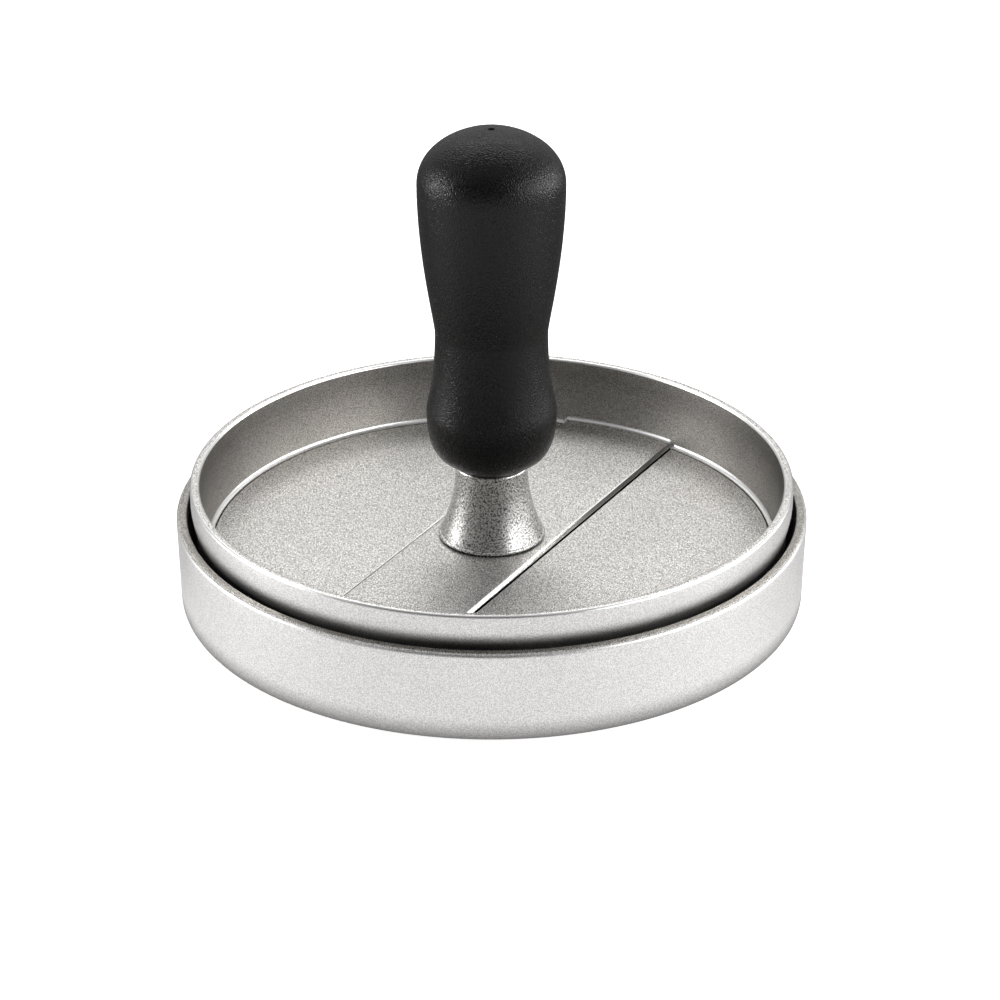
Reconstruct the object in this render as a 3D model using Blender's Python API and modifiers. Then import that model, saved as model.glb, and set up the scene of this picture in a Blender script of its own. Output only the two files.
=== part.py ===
"""Patty press: a cast mould dish and a cast press dish with a moulded handle.

Metres, +Z up. The origin is the centre of the mould's underside. The raised strip across the
press, and the ribs under it and in the mould, run along Y.
"""

import math

import bmesh
import bpy
from mathutils import Vector
from mathutils.geometry import interpolate_bezier

# Driving dimensions
MESH_GAP = 0.0003  # left between pieces that touch
CUT_PAST = 0.002  # how far a cutter runs past what it cuts
DISH_STEPS = 64
HANDLE_STEPS = 48
SMALL_STEPS = 40
WASHER_STEPS = 32
SCREW_STEPS = 24

MOULD_RADIUS = 0.0629  # outside, at the rim
MOULD_DRAFT = 0.0004  # how much narrower the outside is at the bottom
MOULD_HEIGHT = 0.0190
MOULD_WALL = 0.0021
MOULD_RIM_EDGE = 0.0003
MOULD_INNER_DRAFT = 0.0005
MOULD_FLOOR = 0.0028
MOULD_CORNER = 0.0020
MOULD_INNER_CORNER = 0.0026
MOULD_RIB_HEIGHT = 0.0014

PRESS_RADIUS = 0.0600  # outside, at the rim: the 120 mm that sizes the patty
PRESS_RIM_TOP = 0.0255
PRESS_WALL = 0.0019
PRESS_EDGE = 0.0004
PRESS_INNER_DRAFT = 0.0010
PRESS_FLOOR_TOP = 0.0115
PRESS_UNDERSIDE = 0.0089
PRESS_INNER_CORNER = 0.0009
PRESS_LIP_BOTTOM = 0.0225  # below this the outside leans in
PRESS_LEAN = math.radians(12)
PRESS_LEAN_RADIUS = 0.014
PRESS_LEAN_BOTTOM = 0.0160
PRESS_CORNER = 0.0026

STRIP_HALF_WIDTH = 0.0125
STRIP_HEIGHT = 0.0008
STRIP_EDGE = 0.0003
STRIP_ROOT = 0.0006  # how deep the strip's shape is let into the floor
STRIP_END_ROOT = 0.0007  # and into the wall

RIB_PITCH = 0.0125  # the middle pair lies under the strip's edges
RIBS_PER_SIDE = 4
RIB_ROOT_WIDTH = 0.0032
RIB_TIP_WIDTH = 0.0018
RIB_ROOT = 0.0008  # how deep the press's ribs and boss are let into its plate
PRESS_RIB_REACH = 0.0545  # radius at which the ribs end
MOULD_RIB_REACH = 0.0555

BOSS_RADIUS = 0.0120
BOSS_TAPER = 0.0004
BOSS_SHORTFALL = 0.0002  # the boss stops this far above the rib tips
POCKET_RADIUS = 0.0056
POCKET_TOP = 0.0110
SPIGOT_RADIUS = 0.0065
SPIGOT_TOP = 0.0156

SCREW_RADIUS = 0.0024  # an M5 screw, its thread drawn as a plain shank
SCREW_CLEARANCE = 0.0028
SCREW_LENGTH = 0.0350
SCREW_TIP = 0.0005
HEAD_RADIUS = 0.0043
HEAD_HEIGHT = 0.0030
HEAD_ROUND = 0.0006
RECESS_LENGTH = 0.0046
RECESS_WIDTH = 0.0009
RECESS_DEPTH = 0.0015
WASHER_RADIUS = 0.0050
WASHER_HOLE = 0.0027
WASHER_THICKNESS = 0.0010
SPRING_RADIUS = 0.0045
SPRING_THICKNESS = 0.0012
SPRING_SLOT = 0.0008
SPRING_SLOT_LEAN = math.radians(20)
SPRING_SLOT_RISE = 0.004  # how far the slot's cutter runs above and below the washer's middle

COLLAR_FOOT_RADIUS = 0.0107
COLLAR_NECK_RADIUS = 0.0072
COLLAR_LIP_HEIGHT = 0.0012
COLLAR_LIP_STEP = 0.0007  # how far the lip stands out past the flare
COLLAR_EDGE = 0.0003
# how far the handles of the flare's curve reach, down from its top and in and up from its foot
COLLAR_NECK_PULL, COLLAR_FOOT_PULL = 0.0060, (0.0016, 0.0040)

HANDLE_BOTTOM = 0.0283
HANDLE_TOP = 0.0985
HANDLE_END_RADIUS = 0.0074
BULGE_RADIUS, BULGE_HEIGHT = 0.0129, 0.0396
WAIST_RADIUS, WAIST_HEIGHT = 0.0111, 0.0566
SHOULDER_RADIUS, SHOULDER_HEIGHT = 0.0144, 0.0873
# how far the handles of each curve of the grip's side reach, from its upper and its lower end
CROWN_PULLS = (0.0039, 0.0083)
PALM_PULLS = (0.0149, 0.0022)
FINGER_PULLS = (0.0107, 0.0021)
END_PULL, END_FLARE = 0.0100, (0.0016, 0.0018)
GATE_RADIUS = 0.0007
GATE_DEPTH = 0.0004
GATE_STEPS = 12
HANDLE_BORE_SPARE = 0.0019  # how much deeper the bore is than the insert

INSERT_RADIUS = 0.0040
INSERT_KNURL = 0.00035
INSERT_GROOVE_DEPTH = 0.0008
INSERT_GROOVE_WIDTH = 0.0024
INSERT_BORE = 0.0027
INSERT_LENGTH = 0.0160
INSERT_RECESS = 0.0003  # how far the insert sits inside the handle's end

# Worked out from them
MOULD_INNER_RADIUS = MOULD_RADIUS - MOULD_WALL
STRIP_TOP = PRESS_FLOOR_TOP + STRIP_HEIGHT
MOULD_RIB_TOP = MOULD_FLOOR + MOULD_RIB_HEIGHT
PRESS_RIB_BOTTOM = MOULD_RIB_TOP + MESH_GAP
BOSS_BOTTOM = PRESS_RIB_BOTTOM + BOSS_SHORTFALL
WASHER_BOTTOM = POCKET_TOP - MESH_GAP - WASHER_THICKNESS
SPRING_BOTTOM = WASHER_BOTTOM - MESH_GAP - SPRING_THICKNESS
HEAD_TOP = SPRING_BOTTOM - MESH_GAP
HEAD_BOTTOM = HEAD_TOP - HEAD_HEIGHT
SCREW_TOP = HEAD_TOP + SCREW_LENGTH
COLLAR_BOTTOM = STRIP_TOP + MESH_GAP
COLLAR_TOP = HANDLE_BOTTOM - MESH_GAP
INSERT_BOTTOM = HANDLE_BOTTOM + INSERT_RECESS
INSERT_TOP = INSERT_BOTTOM + INSERT_LENGTH
RIB_PLACES = [side * RIB_PITCH * n for n in range(1, RIBS_PER_SIDE + 1) for side in (-1, 1)]


def clear_scene():
    for obj in list(bpy.data.objects):
        bpy.data.objects.remove(obj)


def new_collection(name):
    collection = bpy.data.collections.new(name)
    bpy.context.scene.collection.children.link(collection)
    return collection


def new_material(name, colour, roughness, metallic):
    material = bpy.data.materials.new(name)
    material.use_nodes = True
    shader = material.node_tree.nodes["Principled BSDF"]
    shader.inputs["Base Color"].default_value = (*colour, 1.0)
    shader.inputs["Roughness"].default_value = roughness
    shader.inputs["Metallic"].default_value = metallic
    return material


def new_object(name, mesh, collection, material=None):
    obj = bpy.data.objects.new(name, mesh)
    collection.objects.link(obj)
    if material:
        mesh.materials.append(material)
    return obj


def as_cutter(obj):
    obj.hide_render = True
    obj.display_type = "WIRE"
    return obj


def shade_round(mesh, sharp_angle=35):
    mesh.shade_smooth()
    mesh.set_sharp_from_angle(angle=math.radians(sharp_angle))


def turned(name, profile, steps, collection, material=None, ring=False):
    """A body turned round the Z axis from (radius, height) points that run down its outer side."""
    mesh = bpy.data.meshes.new(name)
    points = [(radius, 0, height) for radius, height in profile]
    edges = [(i, i + 1) for i in range(len(points) - 1)]
    if ring:
        edges.append((len(points) - 1, 0))
    mesh.from_pydata(points, edges, [])
    obj = new_object(name, mesh, collection, material)
    screw = obj.modifiers.new("turn", "SCREW")
    screw.axis = "Z"
    screw.steps = steps
    screw.render_steps = steps
    screw.use_merge_vertices = True
    screw.merge_threshold = 0.00001
    screw.use_smooth_shade = True
    return obj


def from_bmesh(name, build, collection, material=None):
    mesh = bpy.data.meshes.new(name)
    bm = bmesh.new()
    build(bm)
    bmesh.ops.recalc_face_normals(bm, faces=bm.faces)
    bm.to_mesh(mesh)
    bm.free()
    return new_object(name, mesh, collection, material)


def add_box(bm, low, high, taper=1.0):
    """A box between two corners, its lowest face taper times as wide in X and shorter in Y by as much."""
    low, high = Vector(low), Vector(high)
    centre, size = (low + high) / 2, high - low
    made = bmesh.ops.create_cube(bm, size=1.0)["verts"]
    for vert in made:
        is_tip = vert.co.z < 0
        vert.co = Vector((vert.co.x * size.x, vert.co.y * size.y, vert.co.z * size.z))
        if is_tip:
            vert.co.y -= math.copysign((1 - taper) * size.x / 2, vert.co.y)
            vert.co.x *= taper
        vert.co += centre
    return made


def cut_or_join(obj, tool, operation):
    modifier = obj.modifiers.new(operation.lower() + "_" + tool.name, "BOOLEAN")
    modifier.operation = operation
    modifier.object = tool
    modifier.solver = "EXACT"


def arc(centre, radius, start, end, steps):
    """(radius, height) points on an arc, its angles in degrees from +X."""
    points = []
    for i in range(steps + 1):
        angle = math.radians(start + (end - start) * i / steps)
        points.append((centre[0] + radius * math.cos(angle), centre[1] + radius * math.sin(angle)))
    return points


def bezier(start, start_handle, end_handle, end, count):
    points = interpolate_bezier(start, start_handle, end_handle, end, count)
    return [(point.x, point.y) for point in points]


def ribs(name, collection, top, bottom, reach, tips_up):
    """Tapered ribs along Y, one at each of RIB_PLACES, ending on a circle of radius reach."""
    def build(bm):
        half = RIB_ROOT_WIDTH / 2
        taper = RIB_TIP_WIDTH / RIB_ROOT_WIDTH
        for x in RIB_PLACES:
            half_length = math.sqrt(reach**2 - (abs(x) + half) ** 2)
            made = add_box(bm, (x - half, -half_length, bottom), (x + half, half_length, top), taper)
            if tips_up:
                for vert in made:
                    vert.co.z = top + bottom - vert.co.z

    return as_cutter(from_bmesh(name, build, collection))


def make_mould_base(collection, cutters, material):
    wall_foot = MOULD_INNER_RADIUS - MOULD_INNER_DRAFT
    edge = MOULD_RIM_EDGE
    corner = MOULD_INNER_CORNER
    outer_foot = MOULD_RADIUS - MOULD_DRAFT
    profile = [(0, MOULD_FLOOR)]
    profile += arc((wall_foot - corner, MOULD_FLOOR + corner), corner, -90, 0, 4)
    profile += [
        (MOULD_INNER_RADIUS, MOULD_HEIGHT - edge),
        (MOULD_INNER_RADIUS + edge, MOULD_HEIGHT),
        (MOULD_RADIUS - edge, MOULD_HEIGHT),
        (MOULD_RADIUS, MOULD_HEIGHT - edge),
    ]
    profile += arc((outer_foot - MOULD_CORNER, MOULD_CORNER), MOULD_CORNER, 0, -90, 4)
    profile += [(0, 0)]
    base = turned("mould_base", profile, DISH_STEPS, collection, material)
    root = MOULD_FLOOR * 3 / 4
    floor_ribs = ribs("mould_rib_shapes", cutters, MOULD_RIB_TOP, root, MOULD_RIB_REACH, tips_up=True)
    cut_or_join(base, floor_ribs, "UNION")
    return base


def press_dish_profile():
    inner_top = PRESS_RADIUS - PRESS_WALL
    inner_foot = inner_top - PRESS_INNER_DRAFT
    edge = PRESS_EDGE
    profile = [(0, SPIGOT_TOP), (SPIGOT_RADIUS - edge, SPIGOT_TOP), (SPIGOT_RADIUS, SPIGOT_TOP - edge)]
    profile += [(SPIGOT_RADIUS, PRESS_FLOOR_TOP)]
    corner_centre = (inner_foot - PRESS_INNER_CORNER, PRESS_FLOOR_TOP + PRESS_INNER_CORNER)
    profile += arc(corner_centre, PRESS_INNER_CORNER, -90, 0, 3)
    profile += [
        (inner_top, PRESS_RIM_TOP - edge),
        (inner_top + edge, PRESS_RIM_TOP),
        (PRESS_RADIUS - edge, PRESS_RIM_TOP),
        (PRESS_RADIUS, PRESS_RIM_TOP - edge),
    ]
    lean_centre = (PRESS_RADIUS - PRESS_LEAN_RADIUS, PRESS_LIP_BOTTOM)
    lean = arc(lean_centre, PRESS_LEAN_RADIUS, 0, -math.degrees(PRESS_LEAN), 2)
    profile += lean
    lean_drop = lean[-1][1] - PRESS_LEAN_BOTTOM
    foot = lean[-1][0] - lean_drop * math.tan(PRESS_LEAN)
    profile += [(foot, PRESS_LEAN_BOTTOM)]
    profile += arc((foot - PRESS_CORNER, PRESS_UNDERSIDE + PRESS_CORNER), PRESS_CORNER, 0, -90, 4)
    profile += [(0, PRESS_UNDERSIDE)]
    return profile


def make_press_plate(collection, cutters, material):
    plate = turned("press_plate", press_dish_profile(), DISH_STEPS, collection, material)
    inside_wall = PRESS_RADIUS - PRESS_WALL - PRESS_INNER_DRAFT + STRIP_END_ROOT
    root = PRESS_FLOOR_TOP - STRIP_ROOT
    strip = from_bmesh(
        "strip_shape",
        lambda bm: add_box(
            bm,
            (-STRIP_HALF_WIDTH, -PRESS_RADIUS, root),
            (STRIP_HALF_WIDTH, PRESS_RADIUS, STRIP_TOP),
        ),
        cutters,
    )
    edge = strip.modifiers.new("edge", "BEVEL")
    edge.width = STRIP_EDGE
    edge.segments = 1
    round_ends = turned(
        "strip_end_shape",
        [
            (0, STRIP_TOP + CUT_PAST),
            (inside_wall, STRIP_TOP + CUT_PAST),
            (inside_wall, root - CUT_PAST),
            (0, root - CUT_PAST),
        ],
        DISH_STEPS,
        cutters,
    )
    cut_or_join(strip, as_cutter(round_ends), "INTERSECT")
    cut_or_join(plate, as_cutter(strip), "UNION")

    underside_root = PRESS_UNDERSIDE + RIB_ROOT
    score_ribs = ribs(
        "press_rib_shapes", cutters, underside_root, PRESS_RIB_BOTTOM, PRESS_RIB_REACH, tips_up=False
    )
    cut_or_join(plate, score_ribs, "UNION")
    boss = turned(
        "boss_shape",
        [
            (0, underside_root),
            (BOSS_RADIUS, underside_root),
            (BOSS_RADIUS, PRESS_UNDERSIDE),
            (BOSS_RADIUS - BOSS_TAPER, BOSS_BOTTOM),
            (0, BOSS_BOTTOM),
        ],
        SMALL_STEPS,
        cutters,
    )
    cut_or_join(plate, as_cutter(boss), "UNION")
    below = BOSS_BOTTOM - CUT_PAST
    above = SPIGOT_TOP + CUT_PAST
    pocket = turned(
        "screw_pocket_shape",
        [
            (0, above),
            (SCREW_CLEARANCE, above),
            (SCREW_CLEARANCE, POCKET_TOP),
            (POCKET_RADIUS, POCKET_TOP),
            (POCKET_RADIUS, below),
            (0, below),
        ],
        SMALL_STEPS,
        cutters,
    )
    cut_or_join(plate, as_cutter(pocket), "DIFFERENCE")
    return plate


def make_neck_collar(collection, material):
    """A flared ferrule: a round lip at its foot, then a concave flare up to the neck."""
    lip = COLLAR_LIP_HEIGHT / 2
    shoulder = COLLAR_FOOT_RADIUS - COLLAR_LIP_STEP
    lip_top = COLLAR_BOTTOM + COLLAR_LIP_HEIGHT
    edge = COLLAR_EDGE
    recess = SPIGOT_RADIUS + MESH_GAP
    recess_top = SPIGOT_TOP + MESH_GAP
    flare = bezier(
        (COLLAR_NECK_RADIUS, COLLAR_TOP - edge),
        (COLLAR_NECK_RADIUS, COLLAR_TOP - COLLAR_NECK_PULL),
        (shoulder - COLLAR_FOOT_PULL[0], lip_top + COLLAR_FOOT_PULL[1]),
        (shoulder, lip_top),
        10,
    )
    profile = [(COLLAR_NECK_RADIUS - edge, COLLAR_TOP)] + flare
    profile += arc((COLLAR_FOOT_RADIUS - lip, COLLAR_BOTTOM + lip), lip, 60, -90, 4)
    profile += [
        (recess, COLLAR_BOTTOM),
        (recess, recess_top),
        (SCREW_CLEARANCE, recess_top),
        (SCREW_CLEARANCE, COLLAR_TOP),
    ]
    return turned("neck_collar", profile, SMALL_STEPS, collection, material, ring=True)


def handle_outline():
    """The grip's side from the crown down to its end, in four curves that meet smoothly."""
    crown = bezier(
        (0, HANDLE_TOP),
        (CROWN_PULLS[0], HANDLE_TOP),
        (SHOULDER_RADIUS, SHOULDER_HEIGHT + CROWN_PULLS[1]),
        (SHOULDER_RADIUS, SHOULDER_HEIGHT),
        9,
    )
    palm = bezier(
        (SHOULDER_RADIUS, SHOULDER_HEIGHT),
        (SHOULDER_RADIUS, SHOULDER_HEIGHT - PALM_PULLS[0]),
        (WAIST_RADIUS, WAIST_HEIGHT + PALM_PULLS[1]),
        (WAIST_RADIUS, WAIST_HEIGHT),
        8,
    )
    finger_rest = bezier(
        (WAIST_RADIUS, WAIST_HEIGHT),
        (WAIST_RADIUS, WAIST_HEIGHT - FINGER_PULLS[0]),
        (BULGE_RADIUS, BULGE_HEIGHT + FINGER_PULLS[1]),
        (BULGE_RADIUS, BULGE_HEIGHT),
        7,
    )
    end = bezier(
        (BULGE_RADIUS, BULGE_HEIGHT),
        (BULGE_RADIUS, BULGE_HEIGHT - END_PULL),
        (HANDLE_END_RADIUS + END_FLARE[0], HANDLE_BOTTOM + END_FLARE[1]),
        (HANDLE_END_RADIUS, HANDLE_BOTTOM),
        7,
    )
    return crown + palm[1:] + finger_rest[1:] + end[1:]


def make_handle_grip(collection, cutters, material):
    bore = INSERT_RADIUS + MESH_GAP
    bore_top = INSERT_TOP + HANDLE_BORE_SPARE
    profile = handle_outline() + [(bore, HANDLE_BOTTOM), (bore, bore_top), (0, bore_top)]
    grip = turned("handle_grip", profile, HANDLE_STEPS, collection, material)
    gate = turned(
        "gate_mark_shape",
        [
            (0, HANDLE_TOP + CUT_PAST),
            (GATE_RADIUS, HANDLE_TOP + CUT_PAST),
            (GATE_RADIUS, HANDLE_TOP - GATE_DEPTH),
            (0, HANDLE_TOP - GATE_DEPTH),
        ],
        GATE_STEPS,
        cutters,
    )
    cut_or_join(grip, as_cutter(gate), "DIFFERENCE")
    return grip


def make_threaded_insert(collection, cutters, material):
    """A brass bush with straight knurling and a waist groove that locks it in the moulding."""
    def build(bm):
        made = bmesh.ops.create_cone(
            bm,
            cap_ends=True,
            segments=SMALL_STEPS,
            radius1=INSERT_RADIUS,
            radius2=INSERT_RADIUS,
            depth=INSERT_LENGTH,
        )["verts"]
        for vert in made:
            step = round(math.atan2(vert.co.y, vert.co.x) / (2 * math.pi / SMALL_STEPS))
            if step % 2:
                vert.co.xy *= (INSERT_RADIUS - INSERT_KNURL) / INSERT_RADIUS
            vert.co.z += (INSERT_BOTTOM + INSERT_TOP) / 2

    insert = from_bmesh("threaded_insert", build, collection, material)
    groove_top = (INSERT_BOTTOM + INSERT_TOP + INSERT_GROOVE_WIDTH) / 2
    groove_bottom = groove_top - INSERT_GROOVE_WIDTH
    groove_floor = INSERT_RADIUS - INSERT_GROOVE_DEPTH
    groove = turned(
        "insert_groove_shape",
        [
            (INSERT_RADIUS + CUT_PAST, groove_top),
            (INSERT_RADIUS + CUT_PAST, groove_bottom),
            (groove_floor, groove_bottom),
            (groove_floor, groove_top),
        ],
        SMALL_STEPS,
        cutters,
        ring=True,
    )
    cut_or_join(insert, as_cutter(groove), "DIFFERENCE")
    bore = turned(
        "insert_bore_shape",
        [
            (0, INSERT_TOP + CUT_PAST),
            (INSERT_BORE, INSERT_TOP + CUT_PAST),
            (INSERT_BORE, INSERT_BOTTOM - CUT_PAST),
            (0, INSERT_BOTTOM - CUT_PAST),
        ],
        SMALL_STEPS // 2,
        cutters,
    )
    cut_or_join(insert, as_cutter(bore), "DIFFERENCE")
    return insert


def make_clamp_screw(collection, cutters, material):
    profile = [(0, SCREW_TOP), (SCREW_RADIUS - SCREW_TIP, SCREW_TOP), (SCREW_RADIUS, SCREW_TOP - SCREW_TIP)]
    profile += [(SCREW_RADIUS, HEAD_TOP), (HEAD_RADIUS, HEAD_TOP)]
    profile += arc((HEAD_RADIUS - HEAD_ROUND, HEAD_BOTTOM + HEAD_ROUND), HEAD_ROUND, 0, -90, 3)
    profile += [(0, HEAD_BOTTOM)]
    screw = turned("clamp_screw", profile, SCREW_STEPS, collection, material)
    for name, turn in (("recess_shape_a", False), ("recess_shape_b", True)):
        long, short = RECESS_LENGTH / 2, RECESS_WIDTH / 2
        x, y = (short, long) if turn else (long, short)
        low = (-x, -y, HEAD_BOTTOM - CUT_PAST)
        high = (x, y, HEAD_BOTTOM + RECESS_DEPTH)
        slot = from_bmesh(name, lambda bm, low=low, high=high: add_box(bm, low, high), cutters)
        cut_or_join(screw, as_cutter(slot), "DIFFERENCE")
    return screw


def ring_profile(outer, inner, bottom, thickness):
    top = bottom + thickness
    return [(outer, top), (outer, bottom), (inner, bottom), (inner, top)]


def make_flat_washer(collection, material):
    profile = ring_profile(WASHER_RADIUS, WASHER_HOLE, WASHER_BOTTOM, WASHER_THICKNESS)
    return turned("flat_washer", profile, WASHER_STEPS, collection, material, ring=True)


def make_spring_washer(collection, cutters, material):
    profile = ring_profile(SPRING_RADIUS, WASHER_HOLE, SPRING_BOTTOM, SPRING_THICKNESS)
    washer = turned("spring_washer", profile, WASHER_STEPS, collection, material, ring=True)

    def build(bm):
        reach, half_width = SPRING_RADIUS + CUT_PAST, SPRING_SLOT / 2
        made = add_box(bm, (0, -half_width, -SPRING_SLOT_RISE), (reach, half_width, SPRING_SLOT_RISE))
        for vert in made:
            vert.co.y += vert.co.z * math.tan(SPRING_SLOT_LEAN)
            vert.co.z += SPRING_BOTTOM + SPRING_THICKNESS / 2

    cut_or_join(washer, as_cutter(from_bmesh("slot_shape", build, cutters)), "DIFFERENCE")
    return washer


def main():
    clear_scene()
    parts = new_collection("patty_press")
    cutters = new_collection("cutters")
    cast = new_material("cast_aluminium", (0.62, 0.61, 0.60), 0.42, 1.0)
    turned_metal = new_material("blasted_aluminium", (0.68, 0.67, 0.66), 0.32, 1.0)
    plastic = new_material("black_plastic", (0.012, 0.012, 0.013), 0.5, 0.0)
    brass = new_material("brass", (0.72, 0.53, 0.24), 0.35, 1.0)
    steel = new_material("zinc_plated_steel", (0.60, 0.61, 0.63), 0.3, 1.0)

    mould = make_mould_base(parts, cutters, cast)
    press = bpy.data.objects.new("press_axis", None)
    parts.objects.link(press)
    moving = [
        make_press_plate(parts, cutters, cast),
        make_neck_collar(parts, turned_metal),
        make_handle_grip(parts, cutters, plastic),
        make_threaded_insert(parts, cutters, brass),
        make_clamp_screw(parts, cutters, steel),
        make_flat_washer(parts, steel),
        make_spring_washer(parts, cutters, steel),
    ]
    for obj in moving:
        obj.parent = press
    for obj in [mould, *moving]:
        shade_round(obj.data)


main()
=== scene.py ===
import math

import bmesh
import bpy
import numpy as np
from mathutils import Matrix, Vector
from mathutils.geometry import interpolate_bezier


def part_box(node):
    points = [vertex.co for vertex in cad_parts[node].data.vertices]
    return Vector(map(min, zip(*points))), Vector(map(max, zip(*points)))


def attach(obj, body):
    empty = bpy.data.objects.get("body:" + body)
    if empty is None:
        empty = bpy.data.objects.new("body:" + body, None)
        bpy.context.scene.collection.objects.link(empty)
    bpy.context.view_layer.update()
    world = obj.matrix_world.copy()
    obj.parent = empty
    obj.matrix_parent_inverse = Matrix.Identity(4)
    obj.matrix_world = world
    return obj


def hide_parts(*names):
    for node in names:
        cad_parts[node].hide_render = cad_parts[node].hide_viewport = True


# Looks of the patty press: a cast press with a handle, standing in a cast mould. Metres, +Z up.
# The strip across the press's floor and the ribs of both dishes run along Y. The camera stands on
# the -Y side of the object, turned towards +X by VIEW_TURN.

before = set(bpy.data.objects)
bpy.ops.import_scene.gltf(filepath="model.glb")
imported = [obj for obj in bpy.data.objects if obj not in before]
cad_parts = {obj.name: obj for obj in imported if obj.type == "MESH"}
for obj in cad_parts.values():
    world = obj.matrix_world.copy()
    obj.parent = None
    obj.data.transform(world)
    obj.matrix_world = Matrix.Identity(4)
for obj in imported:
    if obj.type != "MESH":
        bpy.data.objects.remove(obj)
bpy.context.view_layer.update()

# Places and sizes that the CAD fixes
mould_low, mould_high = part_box("mould_base")
press_low, press_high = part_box("press_plate")
collar_low, collar_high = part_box("neck_collar")
grip_low, grip_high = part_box("handle_grip")
insert_low, insert_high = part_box("threaded_insert")
screw_low, screw_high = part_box("clamp_screw")
washer_low, washer_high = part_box("flat_washer")
spring_low, spring_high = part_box("spring_washer")

# Camera. The lens and the sensor are in millimetres.
VIEW_TURN = math.radians(29)
VIEW_ELEVATION = math.radians(26.25)
VIEW_DISTANCE = 0.6975
VIEW_LENS = 126.0
SENSOR_WIDTH = 36.0
CLIP_START = 0.01
AIM_RIGHT = 0.00166
AIM_UP = -0.00509

# Studio. WALL_EDGE is where the pale wall begins and where it is whole, as the cosine of the angle
# between a direction and the level way from the camera to the object. BOUNCE_GREY and BOUNCE_GLOW
# hold the paper's values before and behind the object, and BOUNCE_EDGE is where they change.
WORLD_DARK = 0.115
WORLD_WHITE = 0.6
WALL_EDGE = (0.2, 0.7)
PAPER_SIZE = 3.0
PAPER_SEGMENTS = 8
PAPER_ROUGHNESS = 0.9
FLOOR_DROP = 0.0001
FLOOR_COLOUR = (0.88, 0.88, 0.88)
FLOOR_GLOW = 0.8
BOUNCE_DROP = 0.0002
BOUNCE_GREY = (0.88, 0.15)
BOUNCE_GLOW = (0.88, 0.10)
BOUNCE_EDGE = (-0.04, 0.07)
LIGHT_TARGET = Vector((0, 0, 0.03))
# Each soft light's name, place (right, away, up) as the camera sees it, size, and power in watts
SOFTBOXES = (
    ("left_box", (-1.2, 0.06, 0.22), (0.38, 0.38), 10.5),
    ("right_box", (1.17, 0.22, 0.24), (0.8, 0.38), 9.8),
    ("front_right", (1.0, -0.58, 0.5), (0.5, 0.4), 6.0),
    ("top_box", (0, -0.25, 1.2), (1.2, 0.6), 1.3),
    ("left_top", (-1.0, 0.0, 0.9), (0.35, 0.5), 1.4),
    ("right_top", (1.0, 0.0, 0.9), (0.35, 0.5), 1.8),
    ("back_box", (0, 0.85, 1.15), (1.6, 0.6), 8.1),
)

# Steps round a turned piece
FINE_STEPS = 160
ROUND_STEPS = 96
SMALL_STEPS = 64

# Mould
MOULD_WALL = 0.0021
MOULD_FLOOR = 0.0028
MOULD_FILLET = 0.0026
MOULD_INNER_DRAFT = 0.0005
MOULD_INNER_EDGE = 0.0004
MOULD_OUTER_EDGE = 0.0009
MOULD_DRAFT = 0.0004
MOULD_CORNER = 0.0020
MOULD_BOTTOM_RINGS = (0.045, 0.020)

# Press. Its outer wall is upright down to LEAN_TOP, bends, and leans in down to LEAN_BOTTOM.
PRESS_WALL = 0.0019
PRESS_INNER_DRAFT = 0.0010
PRESS_RIM_TOP = 0.0255
PRESS_RIM_EDGE = 0.0006
PRESS_FLOOR_TOP = 0.0115
PRESS_UNDERSIDE = 0.0089
PRESS_FILLET = 0.0009
PRESS_CORNER = 0.0026
UNDERSIDE_INSET = 0.0004
LEAN_TOP = 0.0225
LEAN_BOTTOM = 0.0160
LEAN_RADIUS = 0.014
LEAN_ANGLE = 12
# The line round the floor: its width, its depth, and the parts of the width that its bottom lies between
WITNESS_WIDTH = 0.0003
WITNESS_DEPTH = 0.00036
WITNESS_BOTTOM = (0.25, 0.7)
PRESS_FLOOR_RADIUS = press_high.x - PRESS_WALL - PRESS_INNER_DRAFT - PRESS_FILLET - WITNESS_WIDTH
# Rows up the inner wall: how far up each lies, and how much of the strip's step it still shows
WALL_ROWS = ((0.04, 0.85), (0.08, 0.6), (0.14, 0.3), (0.35, 0.0), (0.7, 0.0))

# Across the strip's two edges: how far outside its nominal width, and how high over the dish floor
STRIP_HALF_WIDTH = 0.0125
STRIP_LEFT_EDGE = (
    (-0.00070, 0.00080), (-0.00052, 0.00078), (-0.00040, 0.00072), (-0.00032, 0.00064), (0.00020, 0.0),
    (0.00024, -0.00022), (0.00028, -0.00030), (0.00042, -0.00030), (0.00048, -0.00006), (0.00066, 0.0),
)
STRIP_RIGHT_EDGE = (
    (-0.00070, 0.00080), (-0.00050, 0.00078), (-0.00034, 0.00072), (-0.00026, 0.00064), (0.00013, 0.0),
    (0.00016, -0.00026), (0.00022, -0.00040), (0.00050, -0.00040), (0.00058, -0.00010), (0.00066, 0.0),
)
STRIP_EDGE_COLUMNS = 22
STRIP_ROWS = 24

# Ribs, on the mould's floor and under the press. The root and the tip are half widths.
RIB_PITCH = 0.0125
RIBS_PER_SIDE = 4
RIB_ROOT = 0.0016
RIB_TIP = 0.0009
RIB_END_SLOPE = 0.0016
RIB_SIDE_COLUMNS = 7
RIBBED_ROWS = 90
MOULD_RIB_HEIGHT = 0.0014
MOULD_RIB_REACH = 0.0555
PRESS_RIB_REACH = 0.0545

# Where the handle's screw goes through the press
BOSS_RADIUS = 0.0120
BOSS_SHORTFALL = 0.0002
POCKET_RADIUS = 0.0056
POCKET_TOP = 0.0110
SPIGOT_RADIUS = 0.0065
SPIGOT_TOP = 0.0156
SCREW_CLEARANCE = 0.0028
FIT_GAP = 0.0003
WASHER_HOLE = 0.0027

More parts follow.
